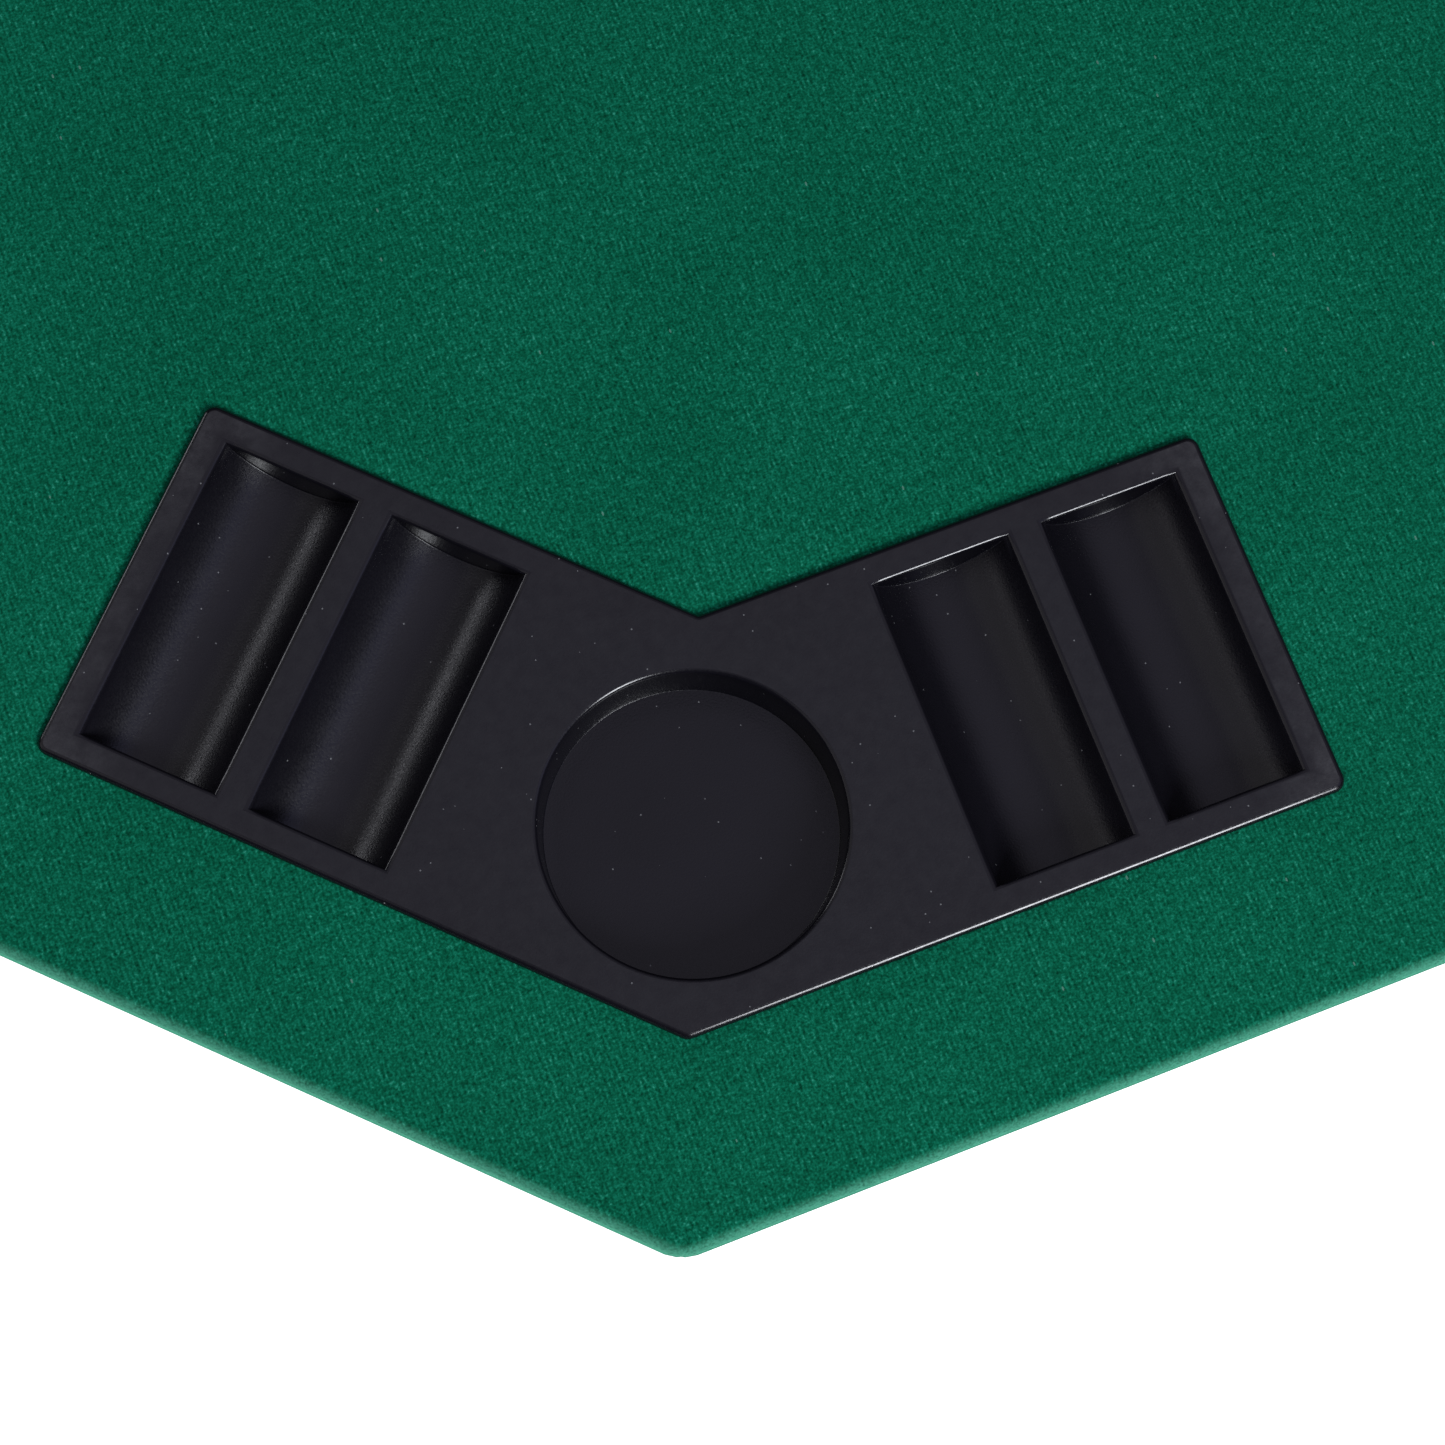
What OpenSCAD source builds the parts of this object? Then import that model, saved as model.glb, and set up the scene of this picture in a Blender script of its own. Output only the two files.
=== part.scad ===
// Folding poker table top: an octagonal, felt-covered playing surface in two
// hinged halves, with a drinks and chip tray let into each of its eight corners.
//
// Millimetres, +Z up. The origin is the centre of the footprint, on the plane
// that the rubber feet stand on. The fold seam runs along X. The front half
// (-Y) is fixed, and the back half (+Y) folds up and over, felt to felt.

/* [Table top] */
// Width of the octagon across its flats
table_w = 1220; // [1210:10:1400]
// Thickness of the fibreboard panels
board_t = 12; // [10:1:18]
// Thickness of the foam under the felt
foam_t = 2; // [1:0.5:4]
// Thickness of the felt
felt_t = 1; // [0.8:0.1:1.4]
// Radius of the octagon's eight corners, seen from above
corner_r = 9; // [5:1:14]
// Width of the felt turned in under each panel
hem_w = 26; // [20:1:30]
// Gap between the two felt-covered edges at the fold
seam_gap = 0.5; // [0.4:0.1:1]

/* [Trays] */
// Distance from a tray's outer edge to the table's edge
tray_setback = 52.8; // [50:0.2:54]
// Width of a tray's two wings
wing_w = 107.5; // [107:0.5:115]
// Length of a wing along its outer edge
wing_len = 192.5; // [192:0.5:194]
// Height of the tray's flange above the felt
flange_t = 2; // [1.5:0.5:3]
// Radius of the flange's outline corners
flange_r = 3.6; // [2:0.2:5]
// Width of the flange that laps over the felt around the cut-out
flange_lap = 5.8; // [4:0.2:6.2]
// Wall thickness of the tray's pockets
wall_t = 1.5; // [1:0.1:1.8]

/* [Chip slots] */
// Width of a chip slot
slot_w = 40.3; // [39.5:0.1:40.5]
// Length of a chip slot, which holds one row of chips
slot_len = 89.4; // [86:0.1:90.4]
// Depth of the trough in the middle of a slot
slot_depth = 13.4; // [10:0.2:14.4]
// Distance from a wing's outer corner to its first slot
slot_start = 92.3; // [91.3:0.1:92.6]
// Distance between the two slots of a wing, edge to like edge
slot_pitch = 50.3; // [49:0.1:50.4]

/* [Cup holder] */
// Radius of the cup holder's wall
cup_r = 41.85; // [38:0.05:42]
// Depth of the cup holder below the flange
cup_depth = 15.4; // [12:0.2:15.4]
// Distance from the tray's outer corner to the cup holder's centre
cup_setback = 58.3; // [57.6:0.1:58.6]

/* [Fold hinges] */
// Distance from the table's centre to the middle of each fold hinge
hinge_x = 550; // [510:5:555]
// Length of a hinge along the seam
hinge_len = 76; // [60:1:84]
// Width of a hinge leaf, measured from the pin's axis
leaf_w = 21; // [18:0.5:21]
// Thickness of the leaves
leaf_t = 1.6; // [1.2:0.1:2]
// Height of the pin's axis above the felt
axis_lift = 3.6; // [3.6:0.1:5]
// Outer radius of the knuckles
knuckle_r = 3.2; // [2.8:0.1:3.2]
// Radius of the hinge pin
pin_r = 1.6; // [1.4:0.05:1.8]

/* [Feet] */
// Height of the rubber feet
foot_h = 5; // [4.5:0.5:8]
// Radius of the rubber feet where they meet the board
foot_r = 12; // [10:0.5:15]
// Distance from the table's centre to the feet near the corners
foot_ring = 440; // [395:5:445]

/* [Hidden] */
HALF_TURN = 22.5;
ROUND = 96;
ARC_STEPS = 6;

half_w = table_w / 2;

// Heights above the resting plane, from the underside up.
board_z = foot_h;
hem_z = board_z - felt_t;
foam_z = board_z + board_t;
felt_z = foam_z + foam_t;
felt_top = felt_z + felt_t;
flange_top = felt_top + flange_t;
axis_z = felt_top + axis_lift;

// A tray's outer corner lies on the octagon's corner line.
tray_reach = (half_w - tray_setback) / cos(HALF_TURN);
// The trough is part of a cylinder as wide as the slot at the flange's top.
slot_r = (slot_depth * slot_depth + slot_w * slot_w / 4) / (2 * slot_depth);
slot_axis_z = flange_top - slot_depth + slot_r;
cutout_r = 2.5;

// Five knuckles share the hinge's length, three of them the front leaf's.
KNUCKLES = 5;
knuckle_gap = 0.4;
knuckle_pitch = hinge_len / KNUCKLES;
pin_clearance = 0.05;
pin_head_t = 1.2;
pin_head_r = 2.4;
leaf_gap = 0.9;
leaf_corner_r = 2.5;

// Wood screws: three in each hinge leaf, one in each foot.
screw_r = 1.5;
pilot_r = 1.55;
screw_head_r = 2.8;
screw_head_t = 1.2;
recess_len = 3.2;
recess_w = 0.8;
recess_depth = 0.7;
hinge_screw_len = 13;
foot_screw_len = 9;
// The hinge screws' holes stop short of the panel's underside.
pilot_end_z = felt_top + leaf_t - hinge_screw_len - 0.5;
leaf_hole_r = 1.7;
screw_margin = 9;
screw_row_y = 12.6;
screw_stagger = 2.6;

foot_recess_r = 4;
foot_recess_h = 2.4;
foot_taper = 1.6;
foot_edge_r = 0.8;

// Staples hold the hem to the board.
staple_w = 11;
staple_t = 0.7;
staple_leg = 6;
staple_pitch = 62;
staple_inset = 16;

TRAY_ANGLES = [-157.5, -112.5, -67.5, -22.5];

// ---- outlines ----

function unit(v) = v / norm(v);

// The points of one corner, rounded to radius r: a and c are its neighbours.
function corner_arc(a, b, c, r) =
    r <= 0 ? [b] :
    let (
        u = unit(a - b),
        v = unit(c - b),
        half = acos(u * v) / 2,
        centre = b + unit(u + v) * r / sin(half),
        from = b + u * r / tan(half) - centre,
        to = b + v * r / tan(half) - centre,
        start = atan2(from[1], from[0]),
        turn = atan2(from[0] * to[1] - from[1] * to[0], from * to)
    )
    [for (i = [0 : ARC_STEPS])
        centre + r * [cos(start + turn * i / ARC_STEPS), sin(start + turn * i / ARC_STEPS)]];

// Rounds a closed outline whose points are [x, y, corner radius].
function rounded(points) =
    let (n = len(points))
    [for (i = [0 : n - 1])
        let (a = points[(i + n - 1) % n], b = points[i], c = points[(i + 1) % n])
        each corner_arc([a[0], a[1]], [b[0], b[1]], [c[0], c[1]], b[2])];

// The front half of the octagon, set in from its outer edge and from the seam.
function half_outline(inset, seam_inset) =
    let (w = half_w - inset, reach = w / cos(HALF_TURN), r = corner_r - inset)
    concat(
        [[w, -seam_inset, 0]],
        [for (a = [-HALF_TURN : -2 * HALF_TURN : -180])
            [reach * cos(a), reach * sin(a), max(r, 1)]],
        [[-w, -seam_inset, 0]]
    );

// A point on a tray's right wing: s along the outer edge, t in from it.
function wing_point(s, t) =
    [s * cos(HALF_TURN) - t * sin(HALF_TURN), s * sin(HALF_TURN) + t * cos(HALF_TURN)];

// The V-shaped outline of a tray, set in all round. The outer corner is at the
// origin and +Y points to the table's centre.
function tray_outline(inset, r) =
    let (
        tip = inset / cos(HALF_TURN),
        notch = (wing_w - inset) / cos(HALF_TURN),
        low = wing_point(wing_len - inset, inset),
        high = wing_point(wing_len - inset, wing_w - inset)
    )
    [
        [0, tip, r], [low[0], low[1], r], [high[0], high[1], r],
        [0, notch, 0], [-high[0], high[1], r], [-low[0], low[1], r]
    ];

module slab(points, z0, z1) {
    translate([0, 0, z0]) linear_extrude(z1 - z0) polygon(rounded(points));
}

// Puts its children, drawn in a tray's own frame, at the corner at this angle.
module at_corner(angle) {
    rotate(angle) translate([tray_reach, 0, 0]) rotate(90) children();
}

// Draws its children in both wings, in the right wing's s and t.
module both_wings() {
    rotate(HALF_TURN) children();
    mirror([1, 0, 0]) rotate(HALF_TURN) children();
}

module back_side() {
    mirror([0, 1, 0]) children();
}

// ---- panels, drawn for the front half ----

module tray_cutouts() {
    for (a = TRAY_ANGLES) {
        at_corner(a) slab(tray_outline(flange_lap, cutout_r), hem_z - 1, flange_top + 1);
    }
}

// Middles of the hinge screws on one side of one hinge, [x, y].
function leaf_screws(side) =
    [for (i = [-1 : 1])
        [i * (hinge_len / 2 - screw_margin),
            side * (screw_row_y + (i == 0 ? screw_stagger : -screw_stagger))]];

module hinge_pilot_holes() {
    for (x = [-hinge_x, hinge_x], p = leaf_screws(-1)) {
        translate([x + p[0], p[1], pilot_end_z])
            cylinder(r = pilot_r, h = hinge_screw_len + 1, $fn = 24);
    }
}

function foot_places() =
    concat(
        [for (a = TRAY_ANGLES) foot_ring * [cos(a), sin(a)]],
        [[-150, -45], [150, -45]]
    );

module half_board() {
    difference() {
        slab(half_outline(felt_t, felt_t + seam_gap / 2), board_z, foam_z);
        tray_cutouts();
        hinge_pilot_holes();
        for (p = foot_places()) {
            translate([p[0], p[1], board_z - 1])
                cylinder(r = pilot_r, h = foot_screw_len, $fn = 24);
        }
    }
}

module half_foam() {
    difference() {
        slab(half_outline(felt_t, felt_t + seam_gap / 2), foam_z, felt_z);
        tray_cutouts();
        hinge_pilot_holes();
    }
}

// One skin over the foam, down the edges, and turned in under the board.
module half_felt() {
    difference() {
        slab(half_outline(0, seam_gap / 2), hem_z, felt_top);
        slab(half_outline(felt_t, felt_t + seam_gap / 2), board_z, felt_z);
        slab(half_outline(hem_w, hem_w + seam_gap / 2), hem_z - 1, board_z + 1);
        tray_cutouts();
        hinge_pilot_holes();
    }
}

// ---- staples ----

module staple() {
    translate([-staple_w / 2, -staple_t / 2, hem_z - staple_t]) {
        cube([staple_w, staple_t, staple_t]);
        cube([staple_t, staple_t, staple_leg]);
        translate([staple_w - staple_t, 0, 0]) cube([staple_t, staple_t, staple_leg]);
    }
}

// A row of staples along the line from a to b, clear of both ends.
module staple_row(a, b) {
    run = norm(b - a);
    count = floor((run - staple_pitch) / staple_pitch) + 1;
    heading = atan2(b[1] - a[1], b[0] - a[0]);
    for (i = [0 : count - 1]) {
        along = run / 2 + (i - (count - 1) / 2) * staple_pitch;
        translate(concat(a + (b - a) * along / run, [0])) rotate(heading) staple();
    }
}

module half_staples() {
    line = half_outline(staple_inset, staple_inset + seam_gap / 2);
    for (i = [0 : len(line) - 1]) {
        a = line[i];
        b = line[(i + 1) % len(line)];
        staple_row([a[0], a[1]], [b[0], b[1]]);
    }
}

// ---- trays ----

module slot_places() {
    for (i = [0, 1]) {
        translate([slot_start + slot_w / 2 + i * slot_pitch, wing_w / 2, slot_axis_z]) children();
    }
}

module trough(r, length) {
    rotate([90, 0, 0]) cylinder(r = r, h = length, center = true, $fn = ROUND);
}

module cup_place() {
    translate([0, cup_setback, 0]) children();
}

// A moulded tray: a flange that lies on the felt, two chip troughs in each
// wing and a round cup holder in the corner, all open at the top.
module tray_body() {
    flange_z = flange_top - flange_t;
    cup_floor = flange_top - cup_depth;
    difference() {
        union() {
            slab(tray_outline(0, flange_r), flange_z, flange_top);
            intersection() {
                both_wings() slot_places() trough(slot_r + wall_t, slot_len + 2 * wall_t);
                slab(tray_outline(wall_t, flange_r), board_z - 1, flange_z + flange_t / 2);
            }
            cup_place() translate([0, 0, cup_floor - wall_t])
                cylinder(r = cup_r + wall_t, h = cup_depth + wall_t - flange_t / 2, $fn = ROUND);
        }
        both_wings() slot_places() trough(slot_r, slot_len);
        cup_place() translate([0, 0, cup_floor])
            cylinder(r = cup_r, h = cup_depth + 1, $fn = ROUND);
    }
}

// Trays 1 to 4 run anticlockwise: from the left in front, from the right behind.
module front_tray(i) {
    color("#232228") at_corner(TRAY_ANGLES[i - 1]) tray_body();
}

module back_tray(i) {
    color("#232228") at_corner(TRAY_ANGLES[i - 1] + 180) tray_body();
}

// ---- hinges ----

module at_hinge(side) {
    translate([side * hinge_x, 0, 0]) children();
}

// One leaf and its knuckles. side is -1 for the front and 1 for the back;
// the front leaf takes the odd knuckles.
module hinge_leaf(side) {
    first = side < 0 ? 0 : 1;
    inner = knuckle_r + leaf_gap;
    plate = [
        [-hinge_len / 2, side * inner, 0], [hinge_len / 2, side * inner, 0],
        [hinge_len / 2, side * leaf_w, leaf_corner_r], [-hinge_len / 2, side * leaf_w, leaf_corner_r]
    ];
    color("#b9b6ae") difference() {
        union() {
            slab(plate, felt_top, felt_top + leaf_t);
            for (k = [first : 2 : KNUCKLES - 1]) {
                x0 = -hinge_len / 2 + k * knuckle_pitch + knuckle_gap / 2;
                length = knuckle_pitch - knuckle_gap;
                translate([x0, 0, axis_z]) rotate([0, 90, 0])
                    cylinder(r = knuckle_r, h = length, $fn = 48);
                translate([x0, side < 0 ? -inner - 1 : 0, felt_top])
                    cube([length, inner + 1, leaf_t]);
            }
        }
        translate([-hinge_len, 0, axis_z]) rotate([0, 90, 0])
            cylinder(r = pin_r + pin_clearance, h = 2 * hinge_len, $fn = 48);
        for (p = leaf_screws(side)) {
            translate([p[0], p[1], felt_top - 1]) cylinder(r = leaf_hole_r, h = leaf_t + 2, $fn = 32);
        }
    }
}

module hinge_pin() {
    run = hinge_len + 2 * knuckle_gap;
    color("#8f8d88") translate([0, 0, axis_z]) rotate([0, 90, 0]) {
        cylinder(r = pin_r, h = run, center = true, $fn = 48);
        for (end = [-1, 1]) {
            translate([0, 0, end * (run + pin_head_t) / 2])
                cylinder(r = pin_head_r, h = pin_head_t, center = true, $fn = 48);
        }
    }
}

// A domed wood screw with a cross recess. Its head's flat side is at z = 0 and
// its shank points down.
module wood_screw(length) {
    difference() {
        rotate_extrude($fn = 48) polygon([
            [0, -length], [screw_r, -length + 2 * screw_r], [screw_r, 0], [screw_head_r, 0],
            [screw_head_r, screw_head_t * 0.4], [screw_head_r * 0.7, screw_head_t * 0.85],
            [screw_head_r * 0.35, screw_head_t], [0, screw_head_t]
        ]);
        for (turn = [0, 90]) {
            rotate(turn) translate([-recess_len / 2, -recess_w / 2, screw_head_t - recess_depth])
                cube([recess_len, recess_w, recess_depth + 1]);
        }
    }
}

module hinge_screws(side) {
    color("#c9c6bd") for (x = [-hinge_x, hinge_x], p = leaf_screws(side)) {
        translate([x + p[0], p[1], felt_top + leaf_t]) wood_screw(hinge_screw_len);
    }
}

// ---- feet ----

module foot() {
    difference() {
        rotate_extrude($fn = 64) polygon([
            [0, 0], [foot_r - foot_taper - foot_edge_r, 0], [foot_r - foot_taper, foot_edge_r],
            [foot_r, foot_h], [0, foot_h]
        ]);
        translate([0, 0, -1]) cylinder(r = foot_recess_r, h = foot_recess_h + 1, $fn = 48);
        cylinder(r = leaf_hole_r, h = foot_h + 1, $fn = 32);
    }
}

module half_feet() {
    for (p = foot_places()) {
        translate([p[0], p[1], 0]) foot();
    }
}

module half_foot_screws() {
    for (p = foot_places()) {
        translate([p[0], p[1], foot_recess_h]) mirror([0, 0, 1]) wood_screw(foot_screw_len);
    }
}

// ---- one module per sub-part ----

module front_board() { color("#9a7650") half_board(); }
module back_board() { color("#9a7650") back_side() half_board(); }
module front_foam() { color("#d9d6cd") half_foam(); }
module back_foam() { color("#d9d6cd") back_side() half_foam(); }
module front_felt() { color("#0a5c45") half_felt(); }
module back_felt() { color("#0a5c45") back_side() half_felt(); }
module front_staples() { color("#b4b4b4") half_staples(); }
module back_staples() { color("#b4b4b4") back_side() half_staples(); }
module front_feet() { color("#1c1c1e") half_feet(); }
module back_feet() { color("#1c1c1e") back_side() half_feet(); }
module front_foot_screws() { color("#c9c6bd") half_foot_screws(); }
module back_foot_screws() { color("#c9c6bd") back_side() half_foot_screws(); }
module left_hinge_front_leaf() { at_hinge(-1) hinge_leaf(-1); }
module right_hinge_front_leaf() { at_hinge(1) hinge_leaf(-1); }
module left_hinge_back_leaf() { at_hinge(-1) hinge_leaf(1); }
module right_hinge_back_leaf() { at_hinge(1) hinge_leaf(1); }
module left_hinge_pin() { at_hinge(-1) hinge_pin(); }
module right_hinge_pin() { at_hinge(1) hinge_pin(); }
module front_hinge_screws() { hinge_screws(-1); }
module back_hinge_screws() { hinge_screws(1); }

front_board();
front_foam();
front_felt();
front_staples();
front_tray(1);  // front_tray_1
front_tray(2);  // front_tray_2
front_tray(3);  // front_tray_3
front_tray(4);  // front_tray_4
front_feet();
front_foot_screws();
left_hinge_front_leaf();
right_hinge_front_leaf();
left_hinge_pin();
right_hinge_pin();
front_hinge_screws();
back_board();
back_foam();
back_felt();
back_staples();
back_tray(1);  // back_tray_1
back_tray(2);  // back_tray_2
back_tray(3);  // back_tray_3
back_tray(4);  // back_tray_4
back_feet();
back_foot_screws();
left_hinge_back_leaf();
right_hinge_back_leaf();
back_hinge_screws();
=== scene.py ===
import math

import bmesh
import bpy
import numpy as np
from mathutils import Matrix, Vector, noise
from mathutils.geometry import delaunay_2d_cdt


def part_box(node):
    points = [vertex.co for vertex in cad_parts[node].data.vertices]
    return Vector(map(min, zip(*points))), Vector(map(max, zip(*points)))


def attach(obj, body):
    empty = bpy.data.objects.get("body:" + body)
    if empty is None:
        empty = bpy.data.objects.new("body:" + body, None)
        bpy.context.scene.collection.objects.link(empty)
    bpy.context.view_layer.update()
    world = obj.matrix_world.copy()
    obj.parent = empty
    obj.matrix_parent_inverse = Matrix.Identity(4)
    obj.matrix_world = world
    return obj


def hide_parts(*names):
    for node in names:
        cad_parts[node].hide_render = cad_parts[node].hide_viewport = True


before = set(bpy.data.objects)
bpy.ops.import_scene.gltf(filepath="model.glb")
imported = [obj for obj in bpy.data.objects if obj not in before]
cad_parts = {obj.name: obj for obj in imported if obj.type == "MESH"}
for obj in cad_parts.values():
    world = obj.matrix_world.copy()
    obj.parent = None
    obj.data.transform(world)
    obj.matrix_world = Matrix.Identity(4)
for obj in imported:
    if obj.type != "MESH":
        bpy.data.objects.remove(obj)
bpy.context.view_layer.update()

# ---- sizes, in metres ----

MM = 0.001
HALF_TURN = math.radians(22.5)

# The table, from the frame.
HALF_W = -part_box("front_felt")[0][1]
HEM_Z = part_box("front_felt")[0][2]
FELT_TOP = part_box("front_felt")[1][2]
FLANGE_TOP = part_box("front_tray_2")[1][2]
SEAM_INSET = -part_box("front_felt")[1][1]
CORNER_R = 11.5 * MM
SEAM_END_R = 3 * MM
HEM_W = 26 * MM

# One tray, in its own frame: the outer corner at the origin, +Y to the table's centre.
TRAY_SETBACK = 52.8 * MM
WING_W = 107.5 * MM
WING_LEN = 192.5 * MM
FLANGE_T = 2 * MM
FLANGE_R = 3.6 * MM
NOTCH_R = 1.2 * MM
FLANGE_LAP = 5.8 * MM
WALL_T = 1.5 * MM
SLOT_W = 40.3 * MM
SLOT_LEN = 89.4 * MM
SLOT_DEPTH = 13.4 * MM
SLOT_START = 92.3 * MM
SLOT_PITCH = 50.3 * MM
CUP_R = 41.85 * MM
CUP_DEPTH = 15.4 * MM
CUP_SETBACK = 58.3 * MM
TRAY_REACH = (HALF_W - TRAY_SETBACK) / math.cos(HALF_TURN)
TRAY_ANGLES = {
    "front": [-157.5, -112.5, -67.5, -22.5],
    "back": [22.5, 67.5, 112.5, 157.5],
}

# The felt: the radii of its bends, its thickness and the spacing of its wales.
FELT_TOP_R = 3.6 * MM
FELT_SEAM_R = 2.6 * MM
FELT_BOTTOM_R = 1.6 * MM
FELT_T = 0.9 * MM
WALE = 1.54 * MM

# Where a tray or a leaf presses it down it lies FELT_SUNK under FELT_TOP, and at PRESS_REACH from
# there it has risen by FELT_LIFT. A faint slow wave runs over all of it.
FELT_SUNK = 0.04 * MM
FELT_LIFT = 0.45 * MM
PRESS_REACH = 7 * MM
FELT_WAVE = 0.12 * MM
FELT_WAVE_LENGTH = 70 * MM

# Loops of points are laid round each tray at these distances, and round each leaf up to LEAF_RINGS.
# A leaf's plate begins at KNUCKLE_REACH from the hinge's axis.
PRESS_RINGS = [d * MM for d in (0.3, 1.5, 3, 5, 7.5, 11)]
LEAF_RINGS = 8 * MM
KNUCKLE_REACH = 4.1 * MM
FRONT_LEAVES = ["left_hinge_front_leaf", "right_hinge_front_leaf"]

# The painted sheen on the bend, which paints it paler: it fades out between the first two
# distances in from the table's edge, and over the last one below the bend.
PAINTED_SHEEN_FROM = 0.4 * MM
PAINTED_SHEEN_TO = 3.3 * MM
PAINTED_SHEEN_DOWN = 5 * MM

# The corners' puckers in the felt's side, and how much the turned-in hem sags underneath.
PUCKERS = 3
PUCKER_DEPTH = 0.6 * MM
PUCKER_SAG = 0.5 * MM
HEM_SAG = 0.25 * MM
HEM_WAVE_LENGTH = 24 * MM

# The tray's softened edges: the radii of its rims, the fillets at the pockets' feet, and the narrow
# flat strip that is meshed round each rim.
FLANGE_EDGE = 1.7 * MM
SLOT_RIM = 1.3 * MM
SLOT_FOOT = 0.35 * MM
CUP_RIM = 1.3 * MM
CUP_FOOT = 0.25 * MM
SUPPORT = 0.4 * MM

# The rim and the fillet on the outside of a slot and of the cup, under the flange.
OUTER_SLOT = (0.5 * MM, 2.4 * MM)
OUTER_CUP = (0.8 * MM, 2.2 * MM)

# Above 0 the plastic is dulled by fine scratches, below 0 it is burnished by hands. The haze on the
# flange is also painted light: it paints the flange paler than the pockets' floors, which lie in
# shade. The corners of the wings' ends are scuffed over SCUFF_REACH.
HAZE_AND_PAINTED_LIGHT = 0.25
BURNISHED = -1.0
SCUFF_REACH = 26 * MM

# How far a pocket's wall leans in, from its top to its floor.
SLOT_DRAFT = 0.4 * MM
CUP_DRAFT = 1.2 * MM

# How finely the outlines are divided: steps round each corner, and along the side after it.
CORNER_STEPS = 8
TRAY_SIDES = [20, 12, 20, 20, 12, 20]
HALF_SIDES = [30, 62, 62, 62, 30, 150]
SEAM_SIDE = len(HALF_SIDES) - 1

# How finely the tray is divided: steps round the rims and the fillets, points round the cup, rings
# on its floor as shares of its radius, and a slot's columns across it and rows along half of it.
RIM_STEPS = 5
FLANGE_STEPS = 6
CUP_FOOT_STEPS = 5
SLOT_FOOT_STEPS = 6
CUP_POINTS = 96
CUP_RINGS = [0.9, 0.6, 0.3]
TROUGH_COLUMNS = 28
TROUGH_ROWS = 8
TROUGH_WALL_ROWS = 5

# The spacing of the points inside the flange and the felt, which keep GRID_CLEAR from the edges.
TRAY_GRID = 5 * MM
FELT_GRID = 12 * MM
GRID_CLEAR = 1 * MM

# Points of one mesh closer than this are joined.
COINCIDE = 1e-6


# ---- outlines ----

def rounded(corners, spacing):
    """A closed outline of points from (x, y, radius) corners. spacing is the count of steps along
    the straight side after each corner."""
    out = []
    n = len(corners)
    for i in range(n):
        a, b, c = (np.array(corners[(i + k) % n][:2]) for k in (-1, 0, 1))
        r = corners[i][2]
        u = (a - b) / np.linalg.norm(a - b)
        v = (c - b) / np.linalg.norm(c - b)
        half = math.acos(float(np.clip(u @ v, -1, 1))) / 2
        middle = (u + v) / np.linalg.norm(u + v)
        centre = b + middle * r / math.sin(half)
        first = b + u * r / math.tan(half) - centre
        last = b + v * r / math.tan(half) - centre
        start = math.atan2(first[1], first[0])
        turn = math.atan2(first[0] * last[1] - first[1] * last[0], first @ last)
        angles = [start + turn * k / CORNER_STEPS for k in range(CORNER_STEPS + 1)]
        out.append([centre + r * np.array([math.cos(a), math.sin(a)]) for a in angles])
    points = []
    for i in range(n):
        points += out[i]
        gap = out[(i + 1) % n][0] - out[i][-1]
        count = spacing[i]
        points += [out[i][-1] + gap * k / count for k in range(1, count)]
    return np.array(points)


def wing_point(s, t):
    """A point on the right wing: s along the outer edge, t in from it."""
    c, q = math.cos(HALF_TURN), math.sin(HALF_TURN)
    return (s * c - t * q, s * q + t * c)


def tray_outline(inset):
    """The tray's V outline, set in by inset (or out, where it is negative)."""
    tip = inset / math.cos(HALF_TURN)
    notch = (WING_W - inset) / math.cos(HALF_TURN)
    low = wing_point(WING_LEN - inset, inset)
    high = wing_point(WING_LEN - inset, WING_W - inset)
    r = max(FLANGE_R - inset, 0.5 * MM)
    hollow = max(NOTCH_R + inset, 0.3 * MM)
    corners = [
        (0, tip, r), (low[0], low[1], r), (high[0], high[1], r),
        (0, notch, hollow), (-high[0], high[1], r), (-low[0], low[1], r),
    ]
    return rounded(corners, TRAY_SIDES)


def half_outline(outer_inset, seam_inset):
    """The front half of the octagon, from the seam's right end, clockwise seen from above."""
    w = HALF_W - outer_inset
    reach = w / math.cos(HALF_TURN)
    y = -SEAM_INSET - seam_inset
    r = max(CORNER_R - outer_inset, 0.8 * MM)
    end_r = max(SEAM_END_R - outer_inset, 0.6 * MM)
    corners = [(w, y, end_r)]
    for k in range(4):
        a = -HALF_TURN * (1 + 2 * k)
        corners.append((reach * math.cos(a), reach * math.sin(a), r))
    corners.append((-w, y, end_r))
    return rounded(corners, HALF_SIDES)


def seam_share():
    """For each point of half_outline: 1 along the seam, 0 on the outer edges."""
    share = []
    for i, count in enumerate(HALF_SIDES):
        if i == 0:
            share += [1 - k / CORNER_STEPS for k in range(CORNER_STEPS + 1)]
        elif i == SEAM_SIDE:
            share += [k / CORNER_STEPS for k in range(CORNER_STEPS + 1)]
        else:
            share += [0.0] * (CORNER_STEPS + 1)
        share += [1.0 if i == SEAM_SIDE else 0.0] * (count - 1)
    return np.array(share)


def corner_share():
    """For each point of half_outline: 0 to 1 across each of the octagon's corners, else 0."""
    share = []
    for i, count in enumerate(HALF_SIDES):
        corner = 0 < i < SEAM_SIDE
        share += [k / CORNER_STEPS if corner else 0.0 for k in range(CORNER_STEPS + 1)]
        share += [0.0] * (count - 1)
    return np.array(share)


def inside(points, polygon):
    """Which of the points lie inside the closed polygon."""
    x, y = points[:, 0][:, None], points[:, 1][:, None]
    x0, y0 = polygon[:, 0][None], polygon[:, 1][None]
    x1, y1 = np.roll(polygon[:, 0], -1)[None], np.roll(polygon[:, 1], -1)[None]
    crosses = (y0 > y) != (y1 > y)
    rise = np.where(y1 == y0, 1e-30, y1 - y0)
    left = x < (x1 - x0) * (y - y0) / rise + x0
    return (np.sum(crosses & left, axis=1) % 2) == 1


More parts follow.
